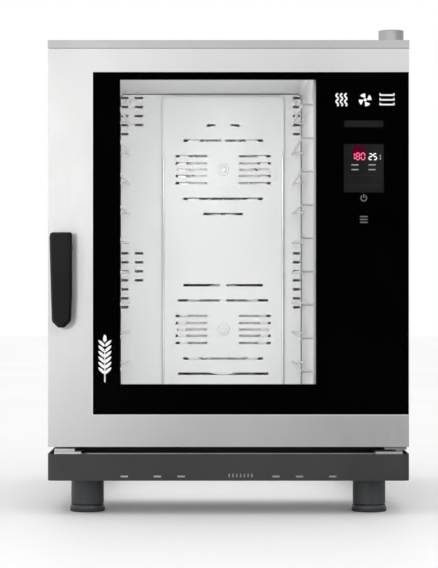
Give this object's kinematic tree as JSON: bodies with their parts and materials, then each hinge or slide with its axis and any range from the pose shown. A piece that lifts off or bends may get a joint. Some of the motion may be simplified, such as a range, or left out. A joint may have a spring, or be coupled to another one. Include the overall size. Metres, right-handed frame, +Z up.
{
  "type": "combi steamer oven",
  "caption": "Floor or stand combi steamer oven with a full-width glazed door, control panel in the door, fan-driven bakery tray chamber and levelling feet.",
  "frame": {"origin": "on the floor, at the centre of the object's footprint", "axes": "+Z up, the door faces -Y, +X to the right seen from the front"},
  "size_m": [0.764, 0.96, 1.035],
  "materials": {
    "casing_steel": "satin brushed stainless steel",
    "chamber_steel": "bright stainless steel sheet",
    "frame_paint": "matt black paint",
    "skirt_plastic": "fine grained dark grey plastic",
    "foot_metal": "dark grey paint",
    "galvanised": "plain steel sheet",
    "motor_paint": "grey motor paint",
    "machined_steel": "turned steel",
    "fan_aluminium": "stainless steel sheet",
    "heater_steel": "heat tinted tube",
    "mineral_wool": "mineral wool",
    "seal_rubber": "black silicone rubber",
    "black_plastic": "black moulded plastic",
    "board_green": "solder mask",
    "valve_plastic": "white moulded plastic",
    "bush_brass": "turned",
    "clear_glass": "clear float glass",
    "black_print": "black ceramic print",
    "led_lens": "diffusing lens"
  },
  "bodies": {
    "casing": {"side_panel_left": "casing_steel", "side_panel_right": "casing_steel", "rear_panel": "casing_steel", "lid": "casing_steel", "bottom_plate": "casing_steel", "front_frame": "casing_steel", "base_frame": "frame_paint", "base_skirt": "skirt_plastic", "drip_tray": "galvanised", "foot_sockets": "foot_metal", "cavity_liner": "chamber_steel", "insulation": "mineral_wool", "door_gasket": "seal_rubber", "fan_baffle": "chamber_steel", "baffle_knobs": "chamber_steel", "tray_runners": "chamber_steel", "motor_plate": "galvanised", "fan_motors": "motor_paint", "ring_heaters": "heater_steel", "water_pipe": "galvanised", "water_valves": "valve_plastic", "drain_pipe": "galvanised", "drain_strainer": "chamber_steel", "vent_duct": "galvanised", "vent_flue": "galvanised", "damper_motor": "black_plastic", "cooling_fan_frame": "black_plastic", "power_board": "board_green", "cable_gland": "seal_rubber", "hinge_brackets": "galvanised", "hinge_pins": "machined_steel", "latch_keeper": "galvanised", "casing_screws": "galvanised"},
    "door": {"door_skin": "casing_steel", "door_outer_glass": "clear_glass", "door_glass_print": "black_print", "door_inner_frame": "casing_steel", "door_window_tunnel": "chamber_steel", "door_inner_glass": "clear_glass", "glass_clips": "galvanised", "door_led_bar": "led_lens", "display_module": "black_plastic", "control_board": "board_green", "hinge_bushes": "bush_brass", "handle_escutcheon": "black_plastic"},
    "handle": {"handle_lever": "black_plastic", "handle_spindle": "machined_steel", "latch_cam": "machined_steel"},
    "fan_upper_wheel": {"fan_upper": "fan_aluminium", "shaft_upper": "machined_steel"},
    "fan_lower_wheel": {"fan_lower": "fan_aluminium", "shaft_lower": "machined_steel"},
    "cooling_rotor": {"cooling_fan_rotor": "black_plastic"},
    "damper": {"vent_damper": "galvanised"},
    "foot_fl": {"foot_front_left": "foot_metal"},
    "foot_fr": {"foot_front_right": "foot_metal"},
    "foot_rl": {"foot_rear_left": "foot_metal"},
    "foot_rr": {"foot_rear_right": "foot_metal"}
  },
  "joints": [
    {"name": "door_hinge", "type": "hinge", "parent": "casing", "child": "door", "pos_m": [0.362, -0.392, 0.56], "axis": [0, 0, 1], "range_deg": [0, 120]},
    {"name": "handle_turn", "type": "hinge", "parent": "door", "child": "handle", "pos_m": [-0.35, -0.428, 0.565], "axis": [0, -1, 0], "range_deg": [0, 60]},
    {"name": "fan_upper_spin", "type": "hinge", "parent": "casing", "child": "fan_upper_wheel", "pos_m": [-0.01, 0.3, 0.767], "axis": [0, 1, 0], "continuous": true},
    {"name": "fan_lower_spin", "type": "hinge", "parent": "casing", "child": "fan_lower_wheel", "pos_m": [-0.01, 0.3, 0.377], "axis": [0, 1, 0], "continuous": true},
    {"name": "cooling_fan_spin", "type": "hinge", "parent": "casing", "child": "cooling_rotor", "pos_m": [0.296, 0.4325, 0.716], "axis": [0, 1, 0], "continuous": true},
    {"name": "vent_damper_turn", "type": "hinge", "parent": "casing", "child": "damper", "pos_m": [0.352, -0.312, 0.965], "axis": [0, 1, 0], "range_deg": [0, 90]},
    {"name": "foot_fl_level", "type": "slide", "parent": "casing", "child": "foot_fl", "axis": [0, 0, 1], "range_m": [-0.025, 0]},
    {"name": "foot_fr_level", "type": "slide", "parent": "casing", "child": "foot_fr", "axis": [0, 0, 1], "range_m": [-0.025, 0]},
    {"name": "foot_rl_level", "type": "slide", "parent": "casing", "child": "foot_rl", "axis": [0, 0, 1], "range_m": [-0.025, 0]},
    {"name": "foot_rr_level", "type": "slide", "parent": "casing", "child": "foot_rr", "axis": [0, 0, 1], "range_m": [-0.025, 0]}
  ]
}
